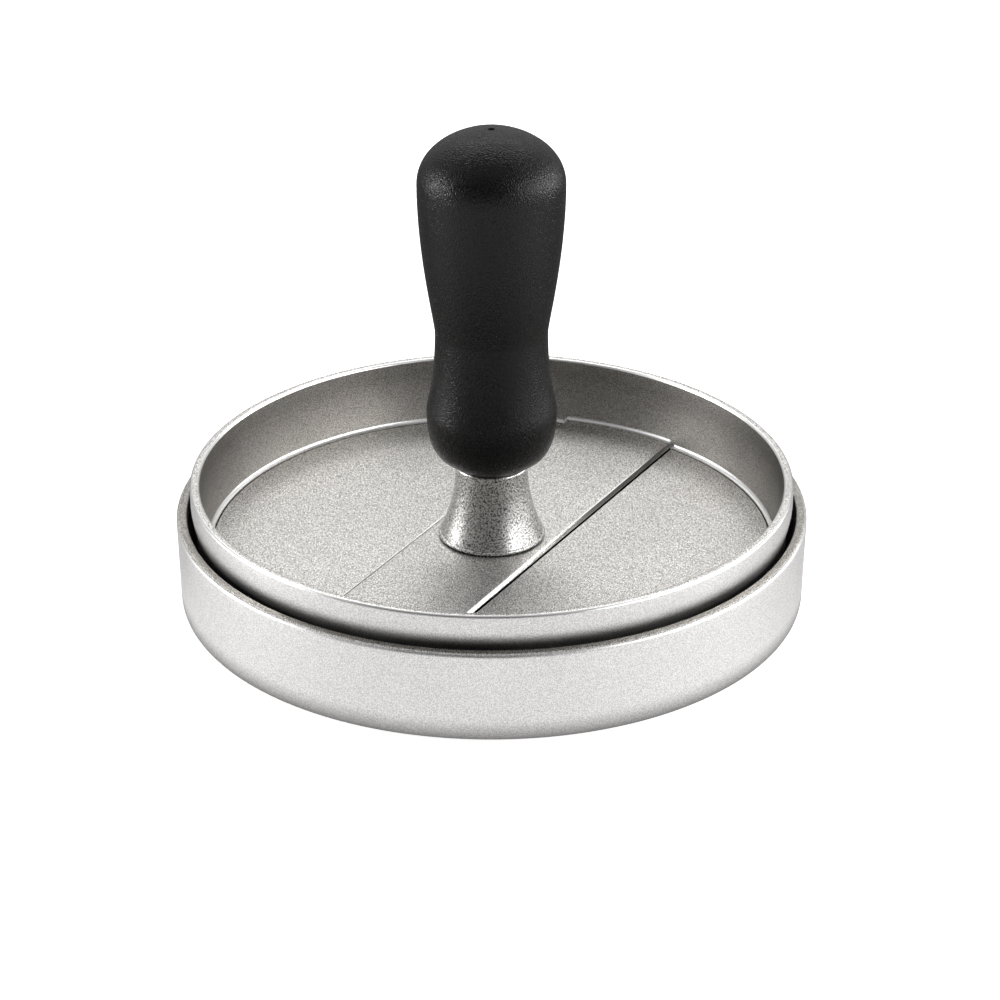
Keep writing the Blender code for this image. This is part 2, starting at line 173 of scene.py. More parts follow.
# Handle. Each pair of pulls is how far a curve keeps its direction at its upper and lower end.
SHOULDER_HEIGHT = 0.0873
WAIST_RADIUS, WAIST_HEIGHT = 0.0111, 0.0566
BULGE_RADIUS, BULGE_HEIGHT = 0.0129, 0.0396
HANDLE_END_RADIUS = 0.0074
HANDLE_END_FLARE = 0.0016
CROWN_PULLS = (0.0039, 0.0083)
PALM_PULLS = (0.0149, 0.0022)
FINGER_PULLS = (0.0107, 0.0021)
END_PULLS = (0.0100, 0.0018)
# The gate mark's pit, and the radius within which the crown's own points are left out
GATE_RADIUS = 0.0007
GATE_DEPTH = 0.0004
GATE_CLEAR = 0.0009

# Grain. The noise is turned by these angles, so that no level face lies along its lattice, where it
# fades. CLOUD_RANGE is the stretch of the slow noise over which roughness changes.
GRAIN_TURN = (0.6, 0.4, 0.0)
CLOUD_RANGE = (0.3, 0.7)
# Multiplied with a place, this takes its height away
FLATTEN = (1, 1, 0)

# How the dishes' finish, and the shade and highlights painted on them, change with place and with the way
# a surface faces. In these names, UP is the height of the surface's unit normal, and OUT is how far it
# faces away
# from the axis: 1 outside a wall, 0 on a floor, -1 inside a wall.
PRESS_REACH = (press_high.x + 0.0002, press_high.x + 0.0005)
# The press's fillets and rim edges are near white and glossier: polish, and a painted highlight as well.
EDGE_UP = (0.22, 0.45)
EDGE_LEVEL_UP = (0.955, 0.992)
EDGE_POLISH_AND_HIGHLIGHT_AMOUNT = 0.9
EDGE_GLOSS = -0.12
EDGE_POLISH_AND_HIGHLIGHT_COLOUR = (0.95, 0.945, 0.94)
# Painted shade: the level top of the mould's rim is darkened, as it faces the shaded gap round the press.
RIM_UP = (0.9, 0.99)
RIM_SHADE = (0.6, 0.59, 0.57)
INNER_OUT = (-0.3, -0.9)
INNER_GRAIN = 0.6
OUTER_OUT = (0.3, 0.9)
OUTER_GRAIN = 0.34
OUTSIDE = (0.67, 0.665, 0.665)
# Painted shade on the inner walls: their colour is darkened a little at the foot and deeply higher up.
WALL_OUT = (-0.98, -0.85)
WALL_RISE = (PRESS_FLOOR_TOP + 0.001, PRESS_RIM_TOP - 0.003)
WALL_SHADE_LOW = (0.68, 0.67, 0.655)
WALL_SHADE_HIGH = (0.29, 0.283, 0.274)
# Painted shade: the mould's colour darkens towards its bottom edge over this height, for the shade near
# the floor.
FOOT_SHADE_HEIGHT = 0.0055
FOOT_SHADE = (0.32, 0.32, 0.32)
# Painted shade on the press's outer wall, darkening below this band as it goes down into the gap inside
# the mould.
GAP_SHADE_BAND = (0.0185, 0.0218)
GAP_SHADE_TINT = (0.5, 0.5, 0.5)

# The steps and lines in the press's floor, by height and by distance from the axis
FLOOR_START = (PRESS_FLOOR_TOP - 0.0010, PRESS_FLOOR_TOP - 0.0009)
LINE_DEPTH = (PRESS_FLOOR_TOP - 0.00010, PRESS_FLOOR_TOP)
LINE_REACH = (PRESS_FLOOR_RADIUS + 0.0004, PRESS_FLOOR_RADIUS + 0.0005)
# Painted shade: the lines sunk in the floor are painted near black, as shade in a crease.
LINE_SHADE_COLOUR = (0.012, 0.012, 0.012)
STEP_REACH = (PRESS_FLOOR_RADIUS - 0.0001, PRESS_FLOOR_RADIUS)
STEP_UP = (0.75, 0.9)
STEP_COLOUR = (0.72, 0.72, 0.71)
STEP_GLOSS = -0.18


# Mesh tools


def s_curve(t):
    """0 to 1 along an S curve, as t goes from 0 to 1."""
    t = min(max(t, 0.0), 1.0)
    return t * t * (3 - 2 * t)


def arc(centre, radius, start, end, steps):
    """(radius, height) points on an arc, its angles in degrees from +X."""
    angles = [math.radians(start + (end - start) * i / steps) for i in range(steps + 1)]
    return [(centre[0] + radius * math.cos(a), centre[1] + radius * math.sin(a)) for a in angles]


def bezier(start, start_handle, end_handle, end, count):
    """(radius, height) points on a Bezier curve."""
    return [(p.x, p.y) for p in interpolate_bezier(start, start_handle, end_handle, end, count)]


def straight(start, end, count):
    """Points between two ends, both left out."""
    run, rise = end[0] - start[0], end[1] - start[1]
    parts = [i / (count + 1) for i in range(1, count + 1)]
    return [(start[0] + run * part, start[1] + rise * part) for part in parts]


class Shell:
    """A mesh under construction: points, faces, and loops of point numbers that faces join."""

    def __init__(self):
        self.points = []
        self.faces = []

    def add(self, point):
        self.points.append(point)
        return len(self.points) - 1

    def ring(self, radius, height, steps):
        angles = [2 * math.pi * i / steps for i in range(steps)]
        return [self.add((radius * math.cos(a), radius * math.sin(a), height)) for a in angles]

    def join(self, outer, inner):
        """Quads between two loops of the same length."""
        for i in range(len(outer)):
            j = (i + 1) % len(outer)
            self.faces.append((outer[i], inner[i], inner[j], outer[j]))

    def fan(self, centre, loop, up):
        """Triangles from a loop to its centre."""
        for i in range(len(loop)):
            j = (i + 1) % len(loop)
            self.faces.append((centre, loop[i], loop[j]) if up else (centre, loop[j], loop[i]))

    def stitch(self, first, second):
        """Triangles between two loops of different lengths that both start at angle 0."""
        def angle(i, loop):
            x, y, _ = self.points[loop[i % len(loop)]]
            return math.atan2(y, x) % (2 * math.pi) + (2 * math.pi if i == len(loop) else 0)

        i = j = 0
        while i < len(first) or j < len(second):
            a, b = first[i % len(first)], second[j % len(second)]
            next_a = angle(i + 1, first) if i < len(first) else math.inf
            next_b = angle(j + 1, second) if j < len(second) else math.inf
            if next_a <= next_b:
                self.faces.append((a, b, first[(i + 1) % len(first)]))
                i += 1
            else:
                self.faces.append((a, b, second[(j + 1) % len(second)]))
                j += 1

    def mesh(self, name):
        """The finished mesh, its faces turned outwards."""
        mesh = bpy.data.meshes.new(name)
        mesh.from_pydata(self.points, [], self.faces)
        bm = bmesh.new()
        bm.from_mesh(mesh)
        bmesh.ops.recalc_face_normals(bm, faces=bm.faces)
        bm.to_mesh(mesh)
        bm.free()
        return mesh


def add_piece(name, mesh, material, body, node):
    """Puts a mesh in the scene as the piece that rides on body and stands for node."""
    obj = bpy.data.objects.new(name, mesh)
    bpy.context.scene.collection.objects.link(obj)
    mesh.materials.append(material)
    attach(obj, body)
    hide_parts(node)
    return obj


def shade(mesh, sharp_angle=40):
    mesh.shade_smooth()
    mesh.set_sharp_from_angle(angle=math.radians(sharp_angle))


def lathe(name, profile, steps, closed=False):
    """A turned mesh from (radius, height) points down the outer side. A point on the axis is a pole."""
    shell = Shell()
    loops = [
        [shell.add((0, 0, height))] if radius == 0 else shell.ring(radius, height, steps)
        for radius, height in profile
    ]
    following = loops[1:] + (loops[:1] if closed else [])
    for upper, lower in zip(loops, following):
        if len(upper) == 1:
            shell.fan(upper[0], lower, up=True)
        elif len(lower) == 1:
            shell.fan(lower[0], upper, up=False)
        else:
            shell.join(upper, lower)
    return shell.mesh(name)


def shaped_cube(name, place):
    """A six-sided mesh whose corners go where place sends each (x, y, z) of -1 or 1."""
    bm = bmesh.new()
    bmesh.ops.create_cube(bm, size=2.0)
    for vert in bm.verts:
        vert.co = place(*vert.co)
    mesh = bpy.data.meshes.new(name)
    bm.to_mesh(mesh)
    bm.free()
    return mesh


def carve(obj, tools):
    """Joins or cuts obj with each tool mesh, in order, and keeps the result as its mesh."""
    helpers = []
    for mesh, operation in tools:
        helper = bpy.data.objects.new(mesh.name, mesh)
        bpy.context.scene.collection.objects.link(helper)
        helpers.append(helper)
        modifier = obj.modifiers.new(mesh.name, "BOOLEAN")
        modifier.operation = operation
        modifier.object = helper
        modifier.solver = "EXACT"
    graph = bpy.context.evaluated_depsgraph_get()
    result = bpy.data.meshes.new_from_object(obj.evaluated_get(graph))
    obj.modifiers.clear()
    old = obj.data
    result.name = old.name + "_cut"
    obj.data = result
    bpy.data.meshes.remove(old)
    for helper in helpers:
        bpy.data.objects.remove(helper)


# Dishes


def disc(shell, radius, places, rows, height):
    """A round sheet on columns along Y at the given X places, so that straight edges along Y stay crisp.
    Returns its boundary loop, counter-clockwise from +X."""
    same_place = 1e-6
    places = sorted(p for p in places if abs(p) < radius - same_place)
    left = shell.add((-radius, 0, height(-radius, 0)))
    right = shell.add((radius, 0, height(radius, 0)))
    columns = []
    for x in places:
        reach = math.sqrt(radius**2 - x**2)
        column = []
        for i in range(rows + 1):
            y = reach * math.sin(math.pi / 2 * (2 * i / rows - 1))
            column.append(shell.add((x, y, height(x, y))))
        columns.append(column)
    for low, high in zip(columns, columns[1:]):
        for i in range(rows):
            shell.faces.append((low[i], high[i], high[i + 1], low[i + 1]))
    for i in range(rows):
        shell.faces.append((left, columns[0][i], columns[0][i + 1]))
        shell.faces.append((right, columns[-1][i + 1], columns[-1][i]))
    return [right] + [c[-1] for c in reversed(columns)] + [left] + [c[0] for c in columns]


def column_places(radius, edges):
    """X places: even in angle round the edge, and dense across each (start, end, count) stretch."""
    steps_in_half_turn = 90
    margin = 0.0002
    decimals = 7
    angles = [math.radians(180 * i / steps_in_half_turn) for i in range(1, steps_in_half_turn)]
    places = [radius * math.cos(a) for a in angles]
    for start, end, _ in edges:
        low, high = min(start, end), max(start, end)
        places = [p for p in places if not low - margin < p < high + margin]
    for start, end, steps in edges:
        places += [start + (end - start) * i / steps for i in range(steps + 1)]
    return sorted(set(round(p, decimals) for p in places))


def rib_centres():
    return [side * RIB_PITCH * n for n in range(1, RIBS_PER_SIDE + 1) for side in (-1, 1)]


def rib_edges():
    """The stretch of X that each side of each rib takes up, and its number of columns."""
    stretches = []
    for centre in rib_centres():
        stretches.append((centre - RIB_ROOT, centre - RIB_TIP, RIB_SIDE_COLUMNS))
        stretches.append((centre + RIB_TIP, centre + RIB_ROOT, RIB_SIDE_COLUMNS))
    return stretches


def rib_height(x, y, reach):
    """0 to 1: how far up its side this point of a rib is."""
    nearest = min(abs(x - centre) for centre in rib_centres())
    across = s_curve((RIB_ROOT - nearest) / (RIB_ROOT - RIB_TIP))
    along = s_curve((reach - math.hypot(x, y)) / RIB_END_SLOPE)
    return across * along


def sweep(shell, start_loop, profile, lift=(), slope=0.0):
    """Rings from a boundary loop through (radius, height) points. lift gives, for the first of them, how
    much of the loop's own height above the first point each keeps, and slope how far out that moves it."""
    angles = [math.atan2(shell.points[i][1], shell.points[i][0]) for i in start_loop]
    rises = [shell.points[i][2] - profile[0][1] for i in start_loop]
    loop = start_loop
    for number, (radius, height) in enumerate(profile[1:], 1):
        keep = lift[number] if number < len(lift) else 0.0
        ring = [
            shell.add((
                (radius + slope * keep * rise) * math.cos(a),
                (radius + slope * keep * rise) * math.sin(a),
                height + keep * rise,
            ))
            for a, rise in zip(angles, rises)
        ]
        shell.join(ring, loop)
        loop = ring
    return loop


def mould_floor(x, y):
    return MOULD_FLOOR + MOULD_RIB_HEIGHT * rib_height(x, y, MOULD_RIB_REACH)


def make_mould(material):
    """The lower dish: a ribbed floor, a wall with a rounded rim, and a rounded bottom edge."""
    radius, height = mould_high.x, mould_high.z
    inner_edge, outer_edge = MOULD_INNER_EDGE, MOULD_OUTER_EDGE
    inner = radius - MOULD_WALL
    floor_radius = inner - MOULD_INNER_DRAFT - MOULD_FILLET
    outer_foot = (radius - MOULD_DRAFT, MOULD_CORNER)
    places = column_places(floor_radius, rib_edges())
    shell = Shell()
    boundary = disc(shell, floor_radius, places, RIBBED_ROWS, mould_floor)
    profile = arc((floor_radius, MOULD_FLOOR + MOULD_FILLET), MOULD_FILLET, -90, 0, steps=8)
    profile += straight(profile[-1], (inner, height - inner_edge), count=2)
    profile += arc((inner + inner_edge, height - inner_edge), inner_edge, 180, 90, steps=8)
    profile += arc((radius - outer_edge, height - outer_edge), outer_edge, 90, 0, steps=8)
    profile += straight((radius, height - outer_edge), outer_foot, count=3)
    profile += arc((outer_foot[0] - MOULD_CORNER, MOULD_CORNER), MOULD_CORNER, 0, -90, steps=8)
    profile += [(ring, 0.0) for ring in MOULD_BOTTOM_RINGS]
    last = sweep(shell, boundary, profile)
    shell.fan(shell.add((0, 0, 0)), last, up=False)
    mesh = shell.mesh("mould_dish")
    shade(mesh)
    add_piece("mould_dish", mesh, material, "mould", "mould_base")


def press_floor(x, _):
    """The floor's height, with the strip, its two different edges and the line along each."""
    edge = STRIP_RIGHT_EDGE if x > 0 else STRIP_LEFT_EDGE
    return PRESS_FLOOR_TOP + float(np.interp(abs(x) - STRIP_HALF_WIDTH, *zip(*edge)))


def press_underside(x, y):
    return PRESS_UNDERSIDE - (PRESS_UNDERSIDE - press_low.z) * rib_height(x, y, PRESS_RIB_REACH)


def press_wall_profile():
    """The wall from the floor's edge over the rim to the underside, and sweep's lift and slope for it."""
    radius, top, edge = press_high.x, PRESS_RIM_TOP, PRESS_RIM_EDGE
    inner_top = radius - PRESS_WALL
    line_bottom = PRESS_FLOOR_TOP - WITNESS_DEPTH
    profile = [(PRESS_FLOOR_RADIUS, PRESS_FLOOR_TOP)]
    profile += [(PRESS_FLOOR_RADIUS + WITNESS_WIDTH * part, line_bottom) for part in WITNESS_BOTTOM]
    fillet_centre = (PRESS_FLOOR_RADIUS + WITNESS_WIDTH, PRESS_FLOOR_TOP + PRESS_FILLET)
    profile += arc(fillet_centre, PRESS_FILLET, -90, 0, steps=8)
    lift = [1.0] * len(profile) + [shown for _, shown in WALL_ROWS]
    foot = profile[-1]
    run, rise = inner_top - foot[0], top - edge - foot[1]
    profile += [(foot[0] + run * up, foot[1] + rise * up) for up, _ in WALL_ROWS]
    profile += arc((inner_top + edge, top - edge), edge, 180, 90, steps=5)
    profile += arc((radius - edge, top - edge), edge, 90, 0, steps=5)
    bend = arc((radius - LEAN_RADIUS, LEAN_TOP), LEAN_RADIUS, 0, -LEAN_ANGLE, steps=8)
    drop = bend[-1][1] - LEAN_BOTTOM
    low = (bend[-1][0] - drop * math.tan(math.radians(LEAN_ANGLE)), LEAN_BOTTOM)
    profile += bend + straight(bend[-1], low, count=2) + [low]
    corner_centre = (low[0] - PRESS_CORNER, PRESS_UNDERSIDE + PRESS_CORNER)
    profile += arc(corner_centre, PRESS_CORNER, 0, -90, steps=8)
    return profile, lift, run / rise


def press_centre_tools():
    """What is joined to the dish and cut from it on its axis: spigot, boss, and the screw's pocket."""
    edge = 0.0004
    taper = 0.0004
    past = 0.002
    spigot_root = PRESS_UNDERSIDE + 0.0010
    boss_root = PRESS_UNDERSIDE + 0.0008
    boss_bottom = press_low.z + BOSS_SHORTFALL
    spigot = [
        (0, SPIGOT_TOP),
        (SPIGOT_RADIUS - edge, SPIGOT_TOP),
        (SPIGOT_RADIUS, SPIGOT_TOP - edge),
        (SPIGOT_RADIUS, spigot_root),
        (0, spigot_root),
    ]
    boss = [(0, boss_root), (BOSS_RADIUS, boss_root), (BOSS_RADIUS, PRESS_UNDERSIDE)]
    boss += arc((BOSS_RADIUS - taper - edge, boss_bottom + edge), edge, 0, -90, steps=4)
    boss += [(0, boss_bottom)]
    pocket = [
        (0, SPIGOT_TOP + past),
        (SCREW_CLEARANCE, SPIGOT_TOP + past),
        (SCREW_CLEARANCE, POCKET_TOP),
        (POCKET_RADIUS, POCKET_TOP),
        (POCKET_RADIUS, boss_bottom - past),
        (0, boss_bottom - past),
    ]
    return (
        (lathe("spigot_tool", spigot, SMALL_STEPS), "UNION"),
        (lathe("boss_tool", boss, ROUND_STEPS), "UNION"),
        (lathe("pocket_tool", pocket, SMALL_STEPS), "DIFFERENCE"),
    )


def make_press(material):
    """The upper dish: a floor with a strip across it, a wall, and ribs and a boss underneath."""
    low, high = (STRIP_HALF_WIDTH + STRIP_RIGHT_EDGE[end][0] for end in (0, -1))
    edges = [(-high, -low, STRIP_EDGE_COLUMNS), (low, high, STRIP_EDGE_COLUMNS)]
    places = column_places(PRESS_FLOOR_RADIUS, edges)
    shell = Shell()
    boundary = disc(shell, PRESS_FLOOR_RADIUS, places, STRIP_ROWS, press_floor)
    profile, lift, slope = press_wall_profile()
    outer = sweep(shell, boundary, profile, lift, slope)
    under_radius = profile[-1][0] - UNDERSIDE_INSET
    places = column_places(under_radius, rib_edges())
    under = disc(shell, under_radius, places, RIBBED_ROWS, press_underside)
    shell.stitch(outer, under)
    mesh = shell.mesh("press_dish")
    obj = add_piece("press_dish", mesh, material, "press", "press_plate")
    carve(obj, press_centre_tools())
    shade(obj.data)


# Handle and collar


def make_collar(material):
    """The flared ferrule: a neck that widens down to a crease and a small round lip, hollow over the
    press's spigot."""
    foot, bottom, top = collar_high.x, collar_low.z, collar_high.z
    neck, neck_pull = 0.0072, 0.0060
    flare_foot = (foot - 0.0004, bottom + 0.0008)
    flare_handle = (flare_foot[0] - 0.0016, flare_foot[1] + 0.0040)
    crease = (foot - 0.0005, bottom + 0.00070)
    edge, lip, recess_edge = 0.0003, 0.00036, 0.0002
    recess = SPIGOT_RADIUS + FIT_GAP
    recess_top = SPIGOT_TOP + FIT_GAP
    profile = arc((neck - edge, top - edge), edge, 90, 0, steps=4)
    profile += bezier((neck, top - edge), (neck, top - neck_pull), flare_handle, flare_foot, count=48)[1:]
    profile += [crease]
    profile += arc((foot - lip, bottom + lip), lip, 75, -90, steps=12)
    profile += [
        (recess + recess_edge, bottom),
        (recess, bottom + recess_edge),
        (recess, recess_top),
        (SCREW_CLEARANCE, recess_top),
        (SCREW_CLEARANCE, top),
    ]
    mesh = lathe("collar", profile, FINE_STEPS, closed=True)
    shade(mesh)
    add_piece("collar", mesh, material, "press", "neck_collar")


def upright_curve(start, end, pulls, count, flare=0.0):
    """A curve that starts straight down, and ends straight down or, with flare, moving inwards too."""
    start_handle = (start[0], start[1] - pulls[0])
    end_handle = (end[0] + flare, end[1] + pulls[1])
    return bezier(start, start_handle, end_handle, end, count)


def grip_outline():
    """The handle's outline from its crown, by shoulder, waist and bulge, to its lower end."""
    top = grip_high.z
    shoulder = (grip_high.x, SHOULDER_HEIGHT)
    waist = (WAIST_RADIUS, WAIST_HEIGHT)
    bulge = (BULGE_RADIUS, BULGE_HEIGHT)
    end = (HANDLE_END_RADIUS, grip_low.z)
    crown_handles = (CROWN_PULLS[0], top), (shoulder[0], SHOULDER_HEIGHT + CROWN_PULLS[1])
    outline = bezier((0, top), *crown_handles, shoulder, count=40)
    outline += upright_curve(shoulder, waist, PALM_PULLS, count=36)[1:]
    outline += upright_curve(waist, bulge, FINGER_PULLS, count=28)[1:]
    outline += upright_curve(bulge, end, END_PULLS, count=28, flare=HANDLE_END_FLARE)[1:]
    return outline


def make_grip(material):
    """The handle, with the moulding's gate mark sunk in its crown and a blind bore for the insert."""
    bore, bore_edge = insert_high.x + FIT_GAP, 0.0002
    bore_top = insert_high.z + 0.0019
    bottom = grip_low.z
    profile = [p for p in grip_outline() if p[0] == 0 or p[0] > GATE_CLEAR]
    crown = profile[0][1]
    pit, pit_floor, pit_edge, rim_edge = crown - GATE_DEPTH, GATE_RADIUS * 0.7, 0.00015, 0.00005
    profile[0:1] = [
        (0, pit),
        (pit_floor, pit),
        (GATE_RADIUS, pit + pit_edge),
        (GATE_RADIUS, crown - rim_edge),
    ]
    profile += [(bore + bore_edge, bottom), (bore, bottom + bore_edge), (bore, bore_top), (0, bore_top)]
    mesh = lathe("grip", profile, FINE_STEPS)
    shade(mesh)
    add_piece("grip", mesh, material, "press", "handle_grip")


# Screw, washers and insert


def make_insert(material):
    """A brass bush with straight knurling on both sides of a waist groove."""
    radius, bottom, top = insert_high.x, insert_low.z, insert_high.z
    knurls, steps_in_knurl, knurl_depth = 20, 6, 0.00035
    middle = (bottom + top) / 2
    chamfer, chamfer_height = 0.0004, 0.0003
    groove, groove_floor, groove_edge = radius - 0.0008, 0.0012, 0.0014
    bore, edge = 0.0027, 0.0002
    rows = (
        (radius - chamfer, top, False),
        (radius, top - chamfer_height, True),
        (radius, middle + groove_edge, True),
        (groove, middle + groove_floor, False),
        (groove, middle - groove_floor, False),
        (radius, middle - groove_edge, True),
        (radius, bottom + chamfer_height, True),
        (radius - chamfer, bottom, False),
        (bore + edge, bottom, False),
        (bore, bottom + edge, False),
        (bore, top - edge, False),
        (bore + edge, top, False),
    )
    shell = Shell()
    steps = knurls * steps_in_knurl
    loops = []
    for reach, height, knurled in rows:
        loop = []
        for i in range(steps):
            a = 2 * math.pi * i / steps
            r = reach - (knurl_depth * (1 - abs(math.sin(knurls * a / 2))) if knurled else 0)
            loop.append(shell.add((r * math.cos(a), r * math.sin(a), height)))
        loops.append(loop)
    for upper, lower in zip(loops, loops[1:] + loops[:1]):
        shell.join(upper, lower)
    mesh = shell.mesh("insert")
    shade(mesh, sharp_angle=30)
    add_piece("insert", mesh, material, "press", "threaded_insert")


def thread_loops(shell, top, bottom, steps):
    """Loops down a threaded shank whose radius depends on angle and height, tapered at its end."""
    major, minor, pitch, rows_a_turn = 0.0025, 0.0021, 0.0008, 5
    end_length, end_size = 0.0008, 0.7
    rows = int((top - bottom) / pitch * rows_a_turn)
    loops = []
    for row in range(rows + 1):
        height = top - (top - bottom) * row / rows
        size = end_size + (1 - end_size) * min(1.0, (top - height) / end_length)
        loop = []
        for i in range(steps):
            a = 2 * math.pi * i / steps
            phase = (height / pitch - a / (2 * math.pi)) % 1
            crest = 1 - abs(2 * phase - 1)
            r = (minor + (major - minor) * crest) * size
            loop.append(shell.add((r * math.cos(a), r * math.sin(a), height)))
        loops.append(loop)
    return loops


def recess_arm(name, half_x, half_y):
    """One arm of the screw's cross recess, narrowing as it goes in."""
    depth, past, narrow = 0.0015, 0.0010, 0.72

    def place(x, y, z):
        taper = narrow if z > 0 else 1.0
        return half_x * taper * x, half_y * taper * y, screw_low.z + (depth if z > 0 else -past)

    return shaped_cube(name, place)


def make_screw(material):
    """A pan-headed machine screw, head down, with a cross recess."""
    bottom, head_radius = screw_low.z, screw_high.x
    head_top = bottom + 0.0030
    edge, round_edge = 0.0002, 0.0008
    arm_length, arm_width = 0.0023, 0.00045
    steps = 36
    shell = Shell()
    tip = shell.add((0, 0, screw_high.z))
    loops = thread_loops(shell, screw_high.z, head_top, steps)
    head = [(head_radius - edge, head_top), (head_radius, head_top - edge)]
    head += arc((head_radius - round_edge, bottom + round_edge), round_edge, 0, -90, steps=6)
    loops += [shell.ring(radius, height, steps) for radius, height in head]
    shell.fan(tip, loops[0], up=True)
    for upper, lower in zip(loops, loops[1:]):
        shell.join(upper, lower)
    shell.fan(shell.add((0, 0, bottom)), loops[-1], up=False)
    mesh = shell.mesh("screw")
    obj = add_piece("screw", mesh, material, "press", "clamp_screw")
    along_x = recess_arm("recess_arm_a", arm_length, arm_width)
    along_y = recess_arm("recess_arm_b", arm_width, arm_length)
    carve(obj, ((along_x, "DIFFERENCE"), (along_y, "DIFFERENCE")))
    shade(obj.data, sharp_angle=35)


def washer_section(low, high, edge):
    radius, bottom, top = high.x, low.z, high.z
    hole = WASHER_HOLE
    return [
        (radius - edge, top), (radius, top - edge), (radius, bottom + edge), (radius - edge, bottom),
        (hole + edge, bottom), (hole, bottom + edge), (hole, top - edge), (hole + edge, top),
    ]


def split_tool():
    """A slanted slab from the axis out, which cuts the spring washer open on its +X side."""
    reach, half_height, half_gap, slant = 0.008, 0.004, 0.0004, math.radians(20)
    middle = (spring_low.z + spring_high.z) / 2

    def place(x, y, z):
        rise = half_height * z
        return reach if x > 0 else 0.0, half_gap * y + rise * math.tan(slant), middle + rise

    return shaped_cube("slot_tool", place)


def make_washers(material):
    """The flat washer, and the split spring washer below it."""
    flat_section = washer_section(washer_low, washer_high, edge=0.00015)
    flat = lathe("washer", flat_section, ROUND_STEPS, closed=True)
    shade(flat)
    add_piece("washer", flat, material, "lift_carrier", "flat_washer")
    split_section = washer_section(spring_low, spring_high, edge=0.00012)
    split = lathe("spring", split_section, ROUND_STEPS, closed=True)
    obj = add_piece("spring", split, material, "press", "spring_washer")
    carve(obj, [(split_tool(), "DIFFERENCE")])
    shade(obj.data)


# Material tools


def new_material(name):
    material = bpy.data.materials.new(name)
    material.use_nodes = True
    tree = material.node_tree
    shader = tree.nodes["Principled BSDF"]
    coords = tree.nodes.new("ShaderNodeTexCoord").outputs["Object"]
    return material, tree, shader, coords


def add_node(tree, kind, inputs, **settings):
    """Adds a node. An input is a socket to link it to, or its value."""
    made = tree.nodes.new(kind)
    for key, value in settings.items():
        setattr(made, key, value)
    for key, value in inputs.items():
        if isinstance(value, bpy.types.NodeSocket):
            tree.links.new(value, made.inputs[key])
        else:
            made.inputs[key].default_value = value
    return made


def ramp(tree, factor, low, high, start=0.0, end=1.0, smooth=False):
    """Maps start..end of factor to low..high."""
    return add_node(
        tree,
        "ShaderNodeMapRange",
        {"Value": factor, "From Min": start, "From Max": end, "To Min": low, "To Max": high},
        interpolation_type="SMOOTHSTEP" if smooth else "LINEAR",
    ).outputs["Result"]


def rising(tree, factor, stretch, smooth=False):
    """A mask that goes from 0 to 1 as factor goes along the stretch."""
    return ramp(tree, factor, 0.0, 1.0, *stretch, smooth=smooth)


def falling(tree, factor, stretch, smooth=False):
    """A mask that goes from 1 to 0 as factor goes along the stretch."""
    return ramp(tree, factor, 1.0, 0.0, *stretch, smooth=smooth)


def inverse(tree, mask):
    return ramp(tree, mask, 1.0, 0.0)


def times(tree, first, second):
    return add_node(tree, "ShaderNodeMath", {0: first, 1: second}, operation="MULTIPLY").outputs["Value"]


def plus(tree, first, second):
    return add_node(tree, "ShaderNodeMath", {0: first, 1: second}, operation="ADD").outputs["Value"]


def multiplied(tree, first, second):
    """Two vectors or colours, multiplied channel by channel."""
    inputs = {0: first, 1: second}
    return add_node(tree, "ShaderNodeVectorMath", inputs, operation="MULTIPLY").outputs["Vector"]


def dot(tree, first, second):
    inputs = {0: first, 1: second}
    return add_node(tree, "ShaderNodeVectorMath", inputs, operation="DOT_PRODUCT").outputs["Value"]


def mix_colours(tree, factor, first, second):
    mix = tree.nodes.new("ShaderNodeMix")
    mix.data_type = "RGBA"
    tree.links.new(factor, mix.inputs["Factor"])
    # the node has sockets of the same name for numbers and vectors, so the colours' go by number
    first_colour, second_colour, mixed_colour = 6, 7, 2
    for key, value in ((first_colour, first), (second_colour, second)):
        if isinstance(value, bpy.types.NodeSocket):
            tree.links.new(value, mix.inputs[key])
        else:
            mix.inputs[key].default_value = (*value, 1.0)
    return mix.outputs[mixed_colour]


def noise(tree, coords, scale, detail):
    inputs = {"Vector": coords, "Scale": scale, "Detail": detail}
    return add_node(tree, "ShaderNodeTexNoise", inputs).outputs["Fac"]


def turned(tree, coords):
    inputs = {"Vector": coords, "Rotation": GRAIN_TURN}
    return add_node(tree, "ShaderNodeMapping", inputs).outputs["Vector"]


def add_bump(tree, shader, height, distance):
    bump = add_node(tree, "ShaderNodeBump", {"Height": height, "Strength": 1.0, "Distance": distance})
    tree.links.new(bump.outputs["Normal"], shader.inputs["Normal"])


def z_of(tree, vector):
    return add_node(tree, "ShaderNodeSeparateXYZ", {"Vector": vector}).outputs["Z"]


def facing_up(tree):
    """The height of the surface's unit normal: 1 where it is level and faces up."""
    return z_of(tree, tree.nodes.new("ShaderNodeTexCoord").outputs["Normal"])


def distance_from_axis(tree, coords):
    flat = multiplied(tree, coords, FLATTEN)
    return add_node(tree, "ShaderNodeVectorMath", {0: flat}, operation="LENGTH").outputs["Value"]


def facing_outward(tree):
    """How far the surface faces away from the axis: 1 outside a wall, 0 on a floor, -1 inside a wall."""
    coords = tree.nodes.new("ShaderNodeTexCoord")
    flat = multiplied(tree, coords.outputs["Object"], FLATTEN)
    outward = add_node(tree, "ShaderNodeVectorMath", {0: flat}, operation="NORMALIZE").outputs["Vector"]
    return dot(tree, outward, coords.outputs["Normal"])


# Metals


def within_press(tree, coords):
    """A mask that is 1 as far out as the press reaches, and 0 on the mould's wall and rim outside it."""
    return falling(tree, distance_from_axis(tree, coords), PRESS_REACH)


